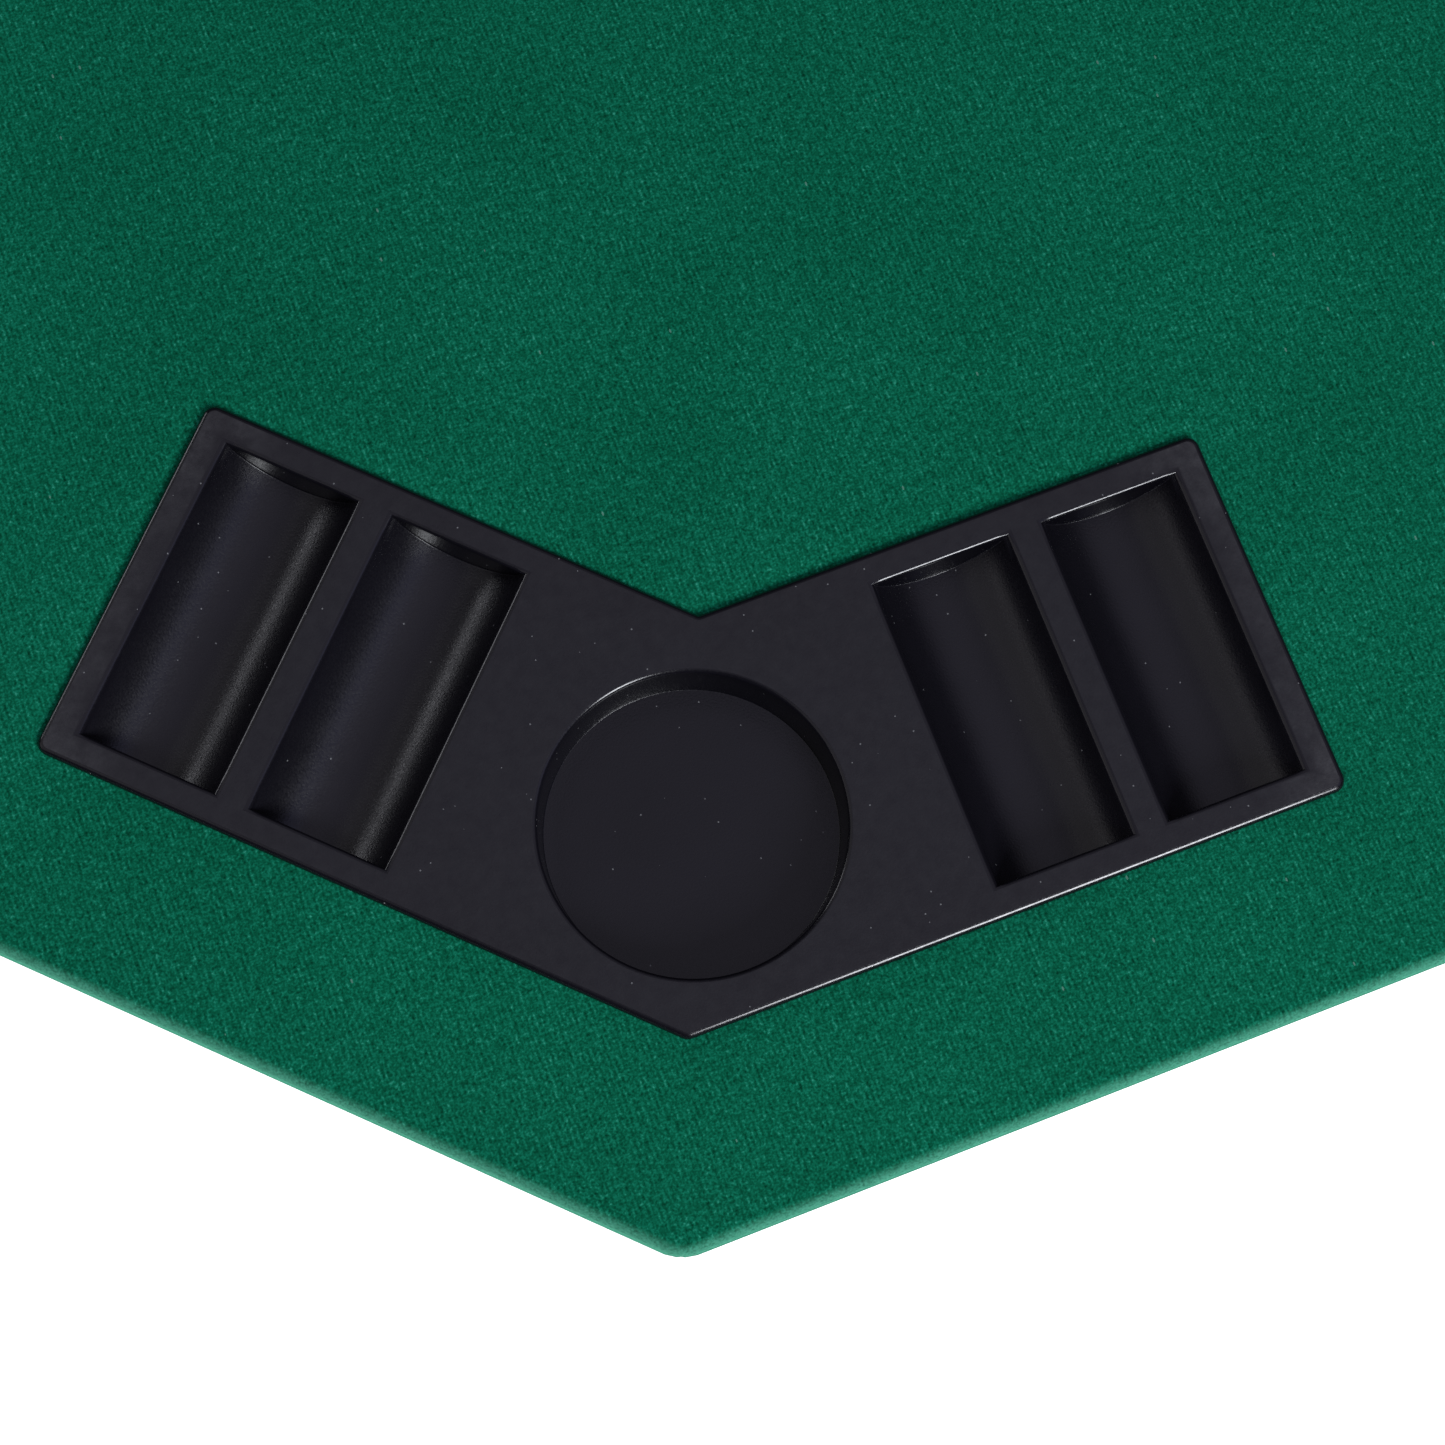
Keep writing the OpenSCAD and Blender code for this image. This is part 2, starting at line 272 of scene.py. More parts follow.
def distance(points, polygon):
    """How far each point is from a closed polygon's outline."""
    a = polygon
    b = np.roll(polygon, -1, axis=0)
    best = np.full(len(points), np.inf)
    for p, q in zip(a, b):
        d = q - p
        t = np.clip(((points - p) @ d) / max(d @ d, 1e-18), 0, 1)
        best = np.minimum(best, np.linalg.norm(points - (p + t[:, None] * d), axis=1))
    return best


def placed(points, angle):
    """Takes 2D points from a tray's frame to the table's, at the corner at this angle in degrees."""
    a = math.radians(angle)
    x, y = TRAY_REACH - points[:, 1], points[:, 0]
    return np.column_stack([x * math.cos(a) - y * math.sin(a), x * math.sin(a) + y * math.cos(a)])


def scattered(outline, gap):
    """A regular grid of points inside an outline, every other row shifted half a step."""
    low, high = outline.min(axis=0), outline.max(axis=0)
    points = []
    for j, y in enumerate(np.arange(low[1], high[1], gap * 0.87)):
        x = np.arange(low[0] + (j % 2) * gap / 2, high[0], gap)
        points.append(np.column_stack([x, np.full(len(x), y)]))
    points = np.concatenate(points)
    return points[inside(points, outline)]


# ---- mesh building ----

def connected(spots, faces, walls, loops):
    """The triangles that lie in one piece with the largest triangle between the loops, going from
    neighbour to neighbour without crossing a wall."""
    corners = spots[np.array(faces)]
    u, v = corners[:, 1] - corners[:, 0], corners[:, 2] - corners[:, 0]
    areas = np.abs(u[:, 0] * v[:, 1] - u[:, 1] * v[:, 0])
    middles = corners.mean(axis=1)
    wanted = inside(middles, loops[0])
    for hole in loops[1:]:
        wanted &= ~inside(middles, hole)
    beside = {}
    for i, face in enumerate(faces):
        for k in range(3):
            edge = frozenset((face[k], face[(k + 1) % 3]))
            if edge not in walls:
                beside.setdefault(edge, []).append(i)
    near = {}
    for pair in beside.values():
        for i in pair:
            near.setdefault(i, []).extend(pair)
    first = int(np.argmax(areas * wanted))
    seen, waiting = {first}, [first]
    while waiting:
        for i in near.get(waiting.pop(), []):
            if i not in seen:
                seen.add(i)
                waiting.append(i)
    return [faces[i] for i in sorted(seen)]


class Shell:
    """Points, faces and face-corner values gathered into one mesh."""

    def __init__(self):
        self.points = []
        self.faces = []
        self.uv = []
        self.wear_and_painted_light = []

    def add(self, points, uv=None, wear_and_painted_light=0.0):
        """Adds points and returns the first one's number. Without uv, their x and y are their uv."""
        start = len(self.points)
        self.points += [tuple(map(float, p)) for p in points]
        self.uv += [tuple(map(float, p[:2])) for p in (points if uv is None else uv)]
        self.wear_and_painted_light += [float(w) for w in np.broadcast_to(wear_and_painted_light, len(points))]
        return start

    def grid(self, rows, closed=False, uv=None, wear_and_painted_light=None):
        """Quads between rows of equal length. closed joins each row's end to its start."""
        starts = [
            self.add(row, None if uv is None else uv[i], 0.0 if wear_and_painted_light is None else wear_and_painted_light[i])
            for i, row in enumerate(rows)
        ]
        n = len(rows[0])
        for low, high in zip(starts, starts[1:]):
            for k in range(n if closed else n - 1):
                m = (k + 1) % n
                self.faces.append((low + k, low + m, high + m, high + k))

    def fill(self, outline, holes, height, extra=None, wear_and_painted_light=None):
        """Triangles inside a 2D outline and outside its holes, with extra points if there are any.
        height gives z for 2D points, and the last argument gives each point's value of the scuffing and
        painted-light attribute. It triangulates in millimetres."""
        loops = [outline] + list(holes)
        flat = np.concatenate(loops if extra is None else loops + [extra])
        edges, at = [], 0
        for loop in loops:
            n = len(loop)
            edges += [(at + k, at + (k + 1) % n) for k in range(n)]
            at += n
        scaled = [Vector((x * 1000, y * 1000)) for x, y in flat]
        made = delaunay_2d_cdt(scaled, edges, [], 0, 1e-6)
        spots = np.array([(p.x, p.y) for p in made[0]]) / 1000
        walls = {frozenset(edge) for edge, source in zip(made[1], made[4]) if source}
        faces = connected(spots, [tuple(f) for f in made[2]], walls, loops)
        worn_and_painted_light = 0.0 if wear_and_painted_light is None else wear_and_painted_light(spots)
        start = self.add(np.column_stack([spots, height(spots)]), wear_and_painted_light=worn_and_painted_light)
        self.faces += [tuple(start + k for k in f) for f in faces]

    def build(self, name, smooth=35.0):
        """The mesh as an object. Edges sharper than smooth, in degrees, stay sharp."""
        mesh = bpy.data.meshes.new(name)
        mesh.from_pydata(self.points, [], self.faces)
        uv = mesh.uv_layers.new(name="UVMap")
        wear_and_painted_light = mesh.attributes.new("wear_and_painted_light", "FLOAT", "POINT")
        wear_and_painted_light.data.foreach_set("value", self.wear_and_painted_light)
        flat = [c for loop in mesh.loops for c in self.uv[loop.vertex_index]]
        uv.data.foreach_set("uv", flat)
        obj = bpy.data.objects.new(name, mesh)
        bpy.context.scene.collection.objects.link(obj)
        clean(mesh)
        mesh.shade_smooth()
        mesh.set_sharp_from_angle(angle=math.radians(smooth))
        return obj


def clean(mesh):
    """Joins points that coincide and turns all faces outward."""
    work = bmesh.new()
    work.from_mesh(mesh)
    bmesh.ops.remove_doubles(work, verts=work.verts, dist=COINCIDE)
    loose = [v for v in work.verts if not v.link_faces]
    bmesh.ops.delete(work, geom=loose, context="VERTS")
    bmesh.ops.recalc_face_normals(work, faces=work.faces)
    work.to_mesh(mesh)
    work.free()


def arc(r, start, end, steps):
    """Points (x, y) of an arc round the origin, angles in degrees."""
    a = np.radians(np.linspace(start, end, steps + 1))
    return np.column_stack([r * np.cos(a), r * np.sin(a)])


# ---- the tray ----

def in_wing(rows, side):
    """Takes rows of (s, t, z) points on the right wing into the tray's frame; side -1 mirrors."""
    c, q = math.cos(HALF_TURN), math.sin(HALF_TURN)
    return [
        np.column_stack([side * (p[:, 0] * c - p[:, 1] * q), p[:, 0] * q + p[:, 1] * c, p[:, 2]])
        for p in rows
    ]


def trough_rows(r, half_len, top, rim, foot, axis_z):
    """Half of one trough, from its middle to the top of its end wall, which leans out.

    Rows run across the trough: the cylinder about the axis at height axis_z, the fillet at the
    end wall's foot and the wall itself. The wall is lower towards the trough's sides, where the
    fillet shrinks to fit under it.
    """
    drop = axis_z - (top - rim)
    limit = math.acos(drop / r)
    a = np.linspace(-limit, limit, TROUGH_COLUMNS + 1)
    wall = r * np.cos(a) - drop
    fillet = np.clip(0.8 * wall, 0, foot)
    end = half_len - SLOT_DRAFT * wall / wall.max()
    rows = []

    def row(rho, b):
        return np.column_stack([rho * np.sin(a), b + 0 * a, axis_z - rho * np.cos(a)])

    for share in np.linspace(0, 1, TROUGH_ROWS):
        rows.append(row(r, share * (end - fillet)))
    for x, y in arc(1.0, 0, 90, SLOT_FOOT_STEPS):
        rows.append(row(r - fillet * (1 - x), end - fillet * (1 - y)))
    low = r - fillet
    high = drop / np.cos(a)
    for share in np.linspace(1 / TROUGH_WALL_ROWS, 1, TROUGH_WALL_ROWS):
        rows.append(row(low + (high - low) * share, end + (half_len - end) * share))
    return rows, a


def rim_loops(half_w, half_len, top, rim, b_rows, a_columns):
    """Loops of the slot's softened rim, from the wall up to the flat, each a closed rectangle."""
    loops = []
    for k in range(RIM_STEPS + 1):
        t = k / RIM_STEPS
        a = half_w[0] * (1 - t) ** 2 + 2 * half_w[1] * t * (1 - t) + half_w[2] * t * t
        b = half_len * ((1 - t) ** 2 + 2 * t * (1 - t)) + (half_len + rim) * t * t
        z = top - rim * (1 - t) ** 2
        loops.append(slot_loop(a, b, z, b_rows, a_columns))
    out = (half_w[2] + SUPPORT, half_len + rim + SUPPORT)
    loops.append(slot_loop(out[0], out[1], top, b_rows, a_columns))
    return loops


def slot_loop(a, b, z, b_rows, a_columns):
    """A closed rectangle of points. b_rows and a_columns are the shares along each half side."""
    right = [(a, y * b) for y in b_rows]
    top = [(x * a, b) for x in a_columns[::-1][1:-1]]
    left = [(-a, y * b) for y in b_rows[::-1]]
    bottom = [(x * a, -b) for x in a_columns[1:-1]]
    return np.array([(x, y, z) for x, y in right + top + left + bottom])


def slot(shell, centre, side, r, half_len, top, rim, foot, axis_z):
    """Adds one trough with its rim, and returns the 2D loop where it meets the flat."""
    rows, a = trough_rows(r, half_len, top, rim, foot, axis_z)
    full = [p * np.array([1, -1, 1]) for p in rows[:0:-1]] + rows
    middle = np.array([centre[0], centre[1], 0])
    shell.grid(in_wing([p + middle for p in full], side))
    flat_w = math.sqrt(r * r - (axis_z - top) ** 2)
    widths = (r * math.sin(a[-1]), flat_w, flat_w + rim)
    b_all = np.array([p[0][1] for p in full]) / half_len
    b_rows = np.unique(np.round(b_all, 9))
    a_columns = np.tan(a) / math.tan(a[-1])
    loops = rim_loops(widths, half_len, top, rim, b_rows, a_columns)
    loops = in_wing([p + middle for p in loops], side)
    shell.grid(loops, closed=True, wear_and_painted_light=[BURNISHED] * RIM_STEPS + [HAZE_AND_PAINTED_LIGHT] * 2)
    return loops[-1][:, :2]


def cup(shell, r, depth, top, rim, foot):
    """Adds the round cup holder and returns the 2D loop where it meets the flat."""
    bottom = top - depth
    low = r - CUP_DRAFT
    wall = depth - rim - foot
    profile = [(r + rim + SUPPORT, top)]
    profile += [(r + rim - x, top - rim + y) for x, y in arc(rim, 90, 0, RIM_STEPS)]
    profile += [(low + CUP_DRAFT * k / 4, bottom + wall * k / 4 + foot) for k in (3, 2, 1)]
    profile += [(low - foot + x, bottom + foot - y) for x, y in arc(foot, 0, 90, CUP_FOOT_STEPS)]
    profile += [(low * k, bottom) for k in CUP_RINGS]
    angle = np.linspace(0, 2 * math.pi, CUP_POINTS + 1)[:-1]
    rows = [
        np.column_stack([q * np.cos(angle), CUP_SETBACK + q * np.sin(angle), np.full(CUP_POINTS, z)])
        for q, z in profile
    ]
    wear_and_painted_light = [HAZE_AND_PAINTED_LIGHT] * 2 + [BURNISHED] * RIM_STEPS
    wear_and_painted_light += [0.0] * (len(rows) - len(wear_and_painted_light))
    shell.grid(rows, closed=True, wear_and_painted_light=wear_and_painted_light)
    middle = shell.add([(0, CUP_SETBACK, bottom)])
    last = middle - CUP_POINTS
    for k in range(CUP_POINTS):
        shell.faces.append((last + k, last + (k + 1) % CUP_POINTS, middle))
    return rows[0][:, :2]


def slot_centres():
    """Each slot's side and its middle on that wing."""
    for side in (1, -1):
        for k in (0, 1):
            yield side, (SLOT_START + SLOT_W / 2 + k * SLOT_PITCH, WING_W / 2)


def flange_wear_and_painted_light(points):
    """The flange's value at 2D points: hazed all over, a haze that also paints it paler as painted light,
    and scuffed at the corners of its ends.
    """
    c, q = math.cos(HALF_TURN), math.sin(HALF_TURN)
    s = np.abs(points[:, 0]) * c + points[:, 1] * q
    t = -np.abs(points[:, 0]) * q + points[:, 1] * c
    near_end = np.clip((s - WING_LEN + SCUFF_REACH) / SCUFF_REACH, 0, 1)
    near_side = np.clip(1 - np.minimum(t, WING_W - t) / SCUFF_REACH, 0, 1)
    return HAZE_AND_PAINTED_LIGHT + (1 - HAZE_AND_PAINTED_LIGHT) * near_end * (0.35 + 0.65 * near_side)


def tray_mesh():
    """A closed moulded shell: flange, pockets inside, and the pockets' outsides underneath."""
    shell = Shell()
    slot_r = (SLOT_DEPTH ** 2 + SLOT_W ** 2 / 4) / (2 * SLOT_DEPTH)
    axis_z = FLANGE_TOP - SLOT_DEPTH + slot_r
    under = FLANGE_TOP - FLANGE_T

    holes = [
        slot(shell, c, side, slot_r, SLOT_LEN / 2, FLANGE_TOP, SLOT_RIM, SLOT_FOOT, axis_z)
        for side, c in slot_centres()
    ]
    holes.append(cup(shell, CUP_R, CUP_DEPTH, FLANGE_TOP, CUP_RIM, CUP_FOOT))

    bend = arc(FLANGE_EDGE, 90, 0, FLANGE_STEPS)
    edge = [(FLANGE_EDGE + SUPPORT, FLANGE_TOP)]
    edge += [(FLANGE_EDGE - x, FLANGE_TOP - FLANGE_EDGE + y) for x, y in bend]
    edge += [(0.0, under + 0.2 * MM), (0.2 * MM, under), (0.6 * MM, under)]
    loops = [tray_outline(inset) for inset, z in edge]
    rows = [np.column_stack([p, np.full(len(p), z)]) for p, (inset, z) in zip(loops, edge)]
    wear_and_painted_light = [flange_wear_and_painted_light(p) for p in loops[:2]] + [BURNISHED] * FLANGE_STEPS
    wear_and_painted_light += [0.0] * (len(loops) - len(wear_and_painted_light))
    shell.grid(rows, closed=True, wear_and_painted_light=wear_and_painted_light)
    spread = scattered(loops[0], TRAY_GRID)
    clear = distance(spread, loops[0]) > GRID_CLEAR
    for hole in holes:
        clear &= ~inside(spread, hole) & (distance(spread, hole) > GRID_CLEAR)
    shell.fill(loops[0], holes, lambda p: np.full(len(p), FLANGE_TOP), spread[clear], flange_wear_and_painted_light)

    outer_r, outer_len = slot_r + WALL_T, SLOT_LEN / 2 + WALL_T
    outer_holes = [
        slot(shell, c, side, outer_r, outer_len, under, *OUTER_SLOT, axis_z)
        for side, c in slot_centres()
    ]
    outer_depth = CUP_DEPTH + WALL_T - FLANGE_T
    outer_holes.append(cup(shell, CUP_R + WALL_T, outer_depth, under, *OUTER_CUP))
    shell.fill(loops[-1], outer_holes, lambda p: np.full(len(p), under))
    return shell


def make_trays(material):
    """The eight trays: one mesh, placed at each corner. Its uv is shifted so that no two overlap."""
    shell = tray_mesh()
    flat = np.array(shell.points)
    for half, angles in TRAY_ANGLES.items():
        for i, angle in enumerate(angles, 1):
            xy = placed(flat[:, :2], angle)
            shell.points = [tuple(p) for p in np.column_stack([xy, flat[:, 2]])]
            shift = np.array([0.7 * i, 1.3 if half == "back" else 0.0])
            shell.uv = [tuple(p) for p in flat[:, :2] + shift]
            node = f"{half}_tray_{i}"
            piece = shell.build(f"{node}_shell")
            piece.data.materials.append(material)
            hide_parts(node)
            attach(piece, f"{half}_half")


# ---- the felt ----

def felt_profile(top_r):
    """The cloth's section from the flat top to the hem's end, as (inset, z) points, and how far
    along the cloth each of them is."""
    top = FELT_TOP + FELT_LIFT
    path = [(top_r + 5 * MM, top), (top_r + 2 * MM, top)]
    path += [(top_r - x, top - top_r + y) for x, y in arc(top_r, 90, 0, 9)]
    side_top, side_bottom = top - top_r, HEM_Z + FELT_BOTTOM_R
    path += [(0.0, side_top + (side_bottom - side_top) * k / 4) for k in range(1, 4)]
    path += [(FELT_BOTTOM_R - x, side_bottom - y) for x, y in arc(FELT_BOTTOM_R, 0, 90, 5)]
    path += [(FELT_BOTTOM_R + (HEM_W - FELT_BOTTOM_R) * k / 6, HEM_Z) for k in range(1, 7)]
    path = np.array(path)
    steps = np.linalg.norm(np.diff(path, axis=0), axis=1)
    return path, np.concatenate([[0], np.cumsum(steps)])


def ripple(points, scale, seed):
    """Smooth noise at 2D points, about -1 to 1, features about scale across."""
    return np.array([noise.noise(Vector((x / scale, y / scale, seed))) for x, y in points])


def pressed(points, shapes):
    """0 where something presses the felt down, rising to 1 a little way off."""
    share = np.ones(len(points))
    for shape in shapes:
        d = np.where(inside(points, shape), 0, distance(points, shape))
        t = np.clip(d / PRESS_REACH, 0, 1)
        share = np.minimum(share, t * t * (3 - 2 * t))
    return share


def leaf_outline(name, grow):
    """The footprint of a front hinge leaf's plate, without its knuckles, grown all round."""
    low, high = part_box(name)
    xs = np.linspace(low[0] - grow, high[0] + grow, 24)
    ys = np.linspace(low[1] - grow, -KNUCKLE_REACH + grow, 8)
    loop = [(x, ys[0]) for x in xs] + [(xs[-1], y) for y in ys[1:]]
    loop += [(x, ys[-1]) for x in xs[::-1][1:]] + [(xs[0], y) for y in ys[::-1][1:-1]]
    return np.array(loop)


def felt_rows(mirror):
    """A cover's rows of points from its flat top to the hem's end, with their uv and how strong the
    painted sheen on the bend is at each."""
    outer, length = felt_profile(FELT_TOP_R)
    seam, seam_length = felt_profile(FELT_SEAM_R)
    share = seam_share()
    corner = corner_share()
    flat_loop = half_outline(outer[0][0], seam[0][0])
    outward = half_outline(0, 0) - half_outline(1 * MM, 1 * MM)
    outward /= np.linalg.norm(outward, axis=1)[:, None]
    rows, uv, painted_sheen = [], [], []
    for k in range(len(outer)):
        loop = half_outline(outer[k][0], seam[k][0])
        z = outer[k][1] * (1 - share) + seam[k][1] * share
        far = length[k] * (1 - share) + seam_length[k] * share
        low = np.clip((FELT_TOP - z) / (FELT_TOP - HEM_Z), 0, 1)
        pucker = -np.abs(np.sin(corner * PUCKERS * math.pi)) * np.sin(corner * math.pi) * low ** 3
        loop = loop + outward * (pucker * PUCKER_DEPTH)[:, None]
        hem = np.clip((outer[k][0] - 3 * MM) / (10 * MM), 0, 1) * (z < HEM_Z + MM)
        sag = ripple(loop, HEM_WAVE_LENGTH, 3.0 + mirror) * HEM_SAG + np.abs(pucker) * PUCKER_SAG
        rows.append(np.column_stack([loop, z - sag * hem]))
        uv.append(flat_loop + outward * far[:, None])
        # Painted sheen: strongest at the table's edge, fading in over the top, down the side and along the
        # seam.
        t = float(np.clip((outer[k][0] - PAINTED_SHEEN_FROM) / (PAINTED_SHEEN_TO - PAINTED_SHEEN_FROM), 0, 1))
        below = np.clip((FELT_TOP - FELT_TOP_R - z) / PAINTED_SHEEN_DOWN, 0, 1)
        painted_sheen.append((1 - t * t * (3 - 2 * t)) * (1 - 0.75 * below) * (1 - 0.6 * share))
    return rows, uv, painted_sheen


def felt_inner_points(outline, angles):
    """Points inside the flat top: an even grid, and closer loops round each tray and leaf."""
    points = [scattered(outline, FELT_GRID)]
    for grow in PRESS_RINGS:
        points += [placed(tray_outline(-grow), a) for a in angles]
        if grow < LEAF_RINGS:
            points += [leaf_outline(leaf, grow) for leaf in FRONT_LEAVES]
    points = np.concatenate(points)
    points = points[inside(points, outline)]
    return points[distance(points, outline) > GRID_CLEAR]


def felt_cover(half, mirror):
    """One half's felt: a single cloth over the top, down the edges and turned in underneath. It is
    made for the front half, and mirrored over the seam for the back one."""
    angles = TRAY_ANGLES["front"]
    shapes = [placed(tray_outline(0), a) for a in angles]
    shapes += [leaf_outline(leaf, 0) for leaf in FRONT_LEAVES]

    def surface(points):
        lift = FELT_LIFT * pressed(points, shapes)
        wave = FELT_WAVE * ripple(points, FELT_WAVE_LENGTH, 9.0 + mirror)
        return FELT_TOP - FELT_SUNK + lift + wave

    rows, uv, painted_sheen = felt_rows(mirror)
    for k in (0, 1):
        rows[k][:, 2] = surface(rows[k][:, :2])
    outline = rows[0][:, :2]
    holes = [placed(tray_outline(FLANGE_LAP), a) for a in angles]
    shell = Shell()
    shell.grid(rows, closed=True, uv=uv, wear_and_painted_light=painted_sheen)
    shell.fill(outline, holes, surface, felt_inner_points(outline, angles))
    if mirror:
        shell.points = [(x, -y, z) for x, y, z in shell.points]
        shell.uv = [(u, -v) for u, v in shell.uv]
    piece = shell.build(f"{half}_felt_cover", smooth=60.0)
    top = max(piece.data.polygons, key=lambda f: f.area)
    if top.normal.z < 0:
        piece.data.flip_normals()
    return piece


def make_felt(material):
    """The two halves' covers, each given the cloth's thickness."""
    for mirror, half in enumerate(("front", "back")):
        piece = felt_cover(half, mirror)
        thick = piece.modifiers.new("Cloth", "SOLIDIFY")
        thick.thickness = FELT_T
        thick.offset = -1
        piece.data.materials.append(material)
        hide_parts(f"{half}_felt")
        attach(piece, f"{half}_half")


# ---- materials ----

class Graph:
    """A material's nodes, made and linked by short calls."""

    def __init__(self, name):
        self.material = bpy.data.materials.new(name)
        self.material.use_nodes = True
        self.tree = self.material.node_tree
        self.shader = self.tree.nodes["Principled BSDF"]
        self.count = 0

    def node(self, kind, inputs=None, **settings):
        made = self.tree.nodes.new("ShaderNode" + kind)
        made.location = (-1600 + 180 * (self.count % 8), 400 - 220 * (self.count // 8))
        self.count += 1
        for key, value in settings.items():
            setattr(made, key, value)
        for key, value in (inputs or {}).items():
            if isinstance(value, bpy.types.NodeSocket):
                self.tree.links.new(value, made.inputs[key])
            else:
                made.inputs[key].default_value = value
        return made

    def math(self, operation, a, b=0.0, c=0.0):
        return self.node("Math", {0: a, 1: b, 2: c}, operation=operation).outputs[0]

    def noise(self, vector, scale, detail=2.0, roughness=0.5):
        made = self.node("TexNoise", {
            "Vector": vector, "Scale": scale, "Detail": detail, "Roughness": roughness,
        })
        return made.outputs[0]

    def stretch(self, vector, x, y, z):
        """The vector with its parts multiplied, which makes a pattern finer along each."""
        made = self.node("VectorMath", {0: vector, 1: (x, y, z)}, operation="MULTIPLY")
        return made.outputs[0]

    def band(self, value, low, high, to_low=0.0, to_high=1.0):
        """Takes low to to_low and high to to_high, and holds past them."""
        made = self.node("MapRange", {
            "Value": value, "From Min": low, "From Max": high, "To Min": to_low, "To Max": to_high,
        })
        return made.outputs[0]

    def mix(self, share, a, b):
        """Colour a where share is 0, and b where it is 1."""
        made = self.node("Mix", {0: share, 6: a, 7: b}, data_type="RGBA")
        return made.outputs[2]

    def ramp(self, value, stops):
        made = self.node("ValToRGB", {0: value})
        bar = made.color_ramp
        while len(bar.elements) < len(stops):
            bar.elements.new(0.5)
        for element, (place, colour) in zip(bar.elements, stops):
            element.position = place
            element.color = (*colour, 1)
        return made.outputs[0]

    def bump(self, height, distance, strength):
        made = self.node("Bump", {"Height": height, "Distance": distance, "Strength": strength})
        return made.outputs[0]

    def set(self, **values):
        for key, value in values.items():
            socket = self.shader.inputs[key.replace("_", " ")]
            if isinstance(value, bpy.types.NodeSocket):
                self.tree.links.new(value, socket)
            else:
                socket.default_value = value


def felt_material():
    """Napped green cloth: faint wavering wales under tufts, light fibres, and a painted sheen that makes
    the bend paler.
    """
    g = Graph("felt")
    uv = g.node("UVMap").outputs[0]

    # Wales: fine lines that waver, and come and go.
    parts = g.node("SeparateXYZ", {0: uv})
    waver = g.noise(g.stretch(uv, 420, 260, 1), 1.0, 2.0)
    phase = g.math("MULTIPLY_ADD", parts.outputs[0], 2 * math.pi / WALE, g.math("MULTIPLY", waver, 3.6))
    clear = g.band(g.noise(uv, 260.0, 1.0), 0.38, 0.62, 0.02, 0.11)
    wale = g.math("MULTIPLY", g.math("SINE", phase), clear)

    # The pile: tufts, clumps of them and larger puffs, on patches that are a little lighter or darker.
    tufts = g.noise(uv, 1500.0, 1.0, 0.5)
    clumps = g.noise(uv, 760.0, 1.0, 0.5)
    puffs = g.noise(uv, 330.0, 1.0, 0.5)
    patches = g.noise(uv, 16.0, 3.0, 0.55)
    pile = g.math("MULTIPLY_ADD", tufts, 0.46, g.math("MULTIPLY", clumps, 0.36))
    pile = g.math("MULTIPLY_ADD", puffs, 0.18, pile)
    woven = g.math("ADD", wale, g.band(pile, 0.3, 0.7, 0.12, 0.86))
    toned = g.math("ADD", woven, g.band(patches, 0.35, 0.65, -0.03, 0.03))
    colour = g.ramp(toned, [
        (0.10, (0.0003, 0.040, 0.018)), (0.46, (0.0022, 0.118, 0.058)),
        (0.70, (0.0060, 0.203, 0.112)), (0.98, (0.056, 0.395, 0.268)),
    ])

    # Short bits of lint, in a tenth of the cells.
    fibre = g.node("TexVoronoi", {"Vector": g.stretch(uv, 250, 110, 1), "Scale": 1.0}, feature="F1")
    lint = g.math("LESS_THAN", fibre.outputs["Distance"], 0.07)
    chosen = g.math("GREATER_THAN", g.node("SeparateColor", {0: fibre.outputs["Color"]}).outputs[0], 0.9)
    lint = g.math("MULTIPLY", g.math("MULTIPLY", lint, chosen), 0.6)
    colour = g.mix(lint, colour, (0.16, 0.34, 0.27, 1))

    # Painted sheen: the bend over the table's edge is painted paler, broken up by the pile.
    painted_sheen = g.node("Attribute", attribute_name="wear_and_painted_light").outputs["Fac"]
    painted_sheen_on_pile = g.math("MULTIPLY", painted_sheen, g.band(pile, 0.3, 0.7, 0.3, 1.1))
    colour = g.mix(painted_sheen_on_pile, colour, (0.070, 0.285, 0.190, 1))

    g.set(
        Base_Color=colour, Roughness=0.92, Normal=g.bump(pile, 0.35 * MM, 0.8),
        Sheen_Weight=0.22, Sheen_Roughness=0.4, Sheen_Tint=(0.2, 1.0, 0.65, 1), Specular_IOR_Level=0.03,
    )
    return g.material


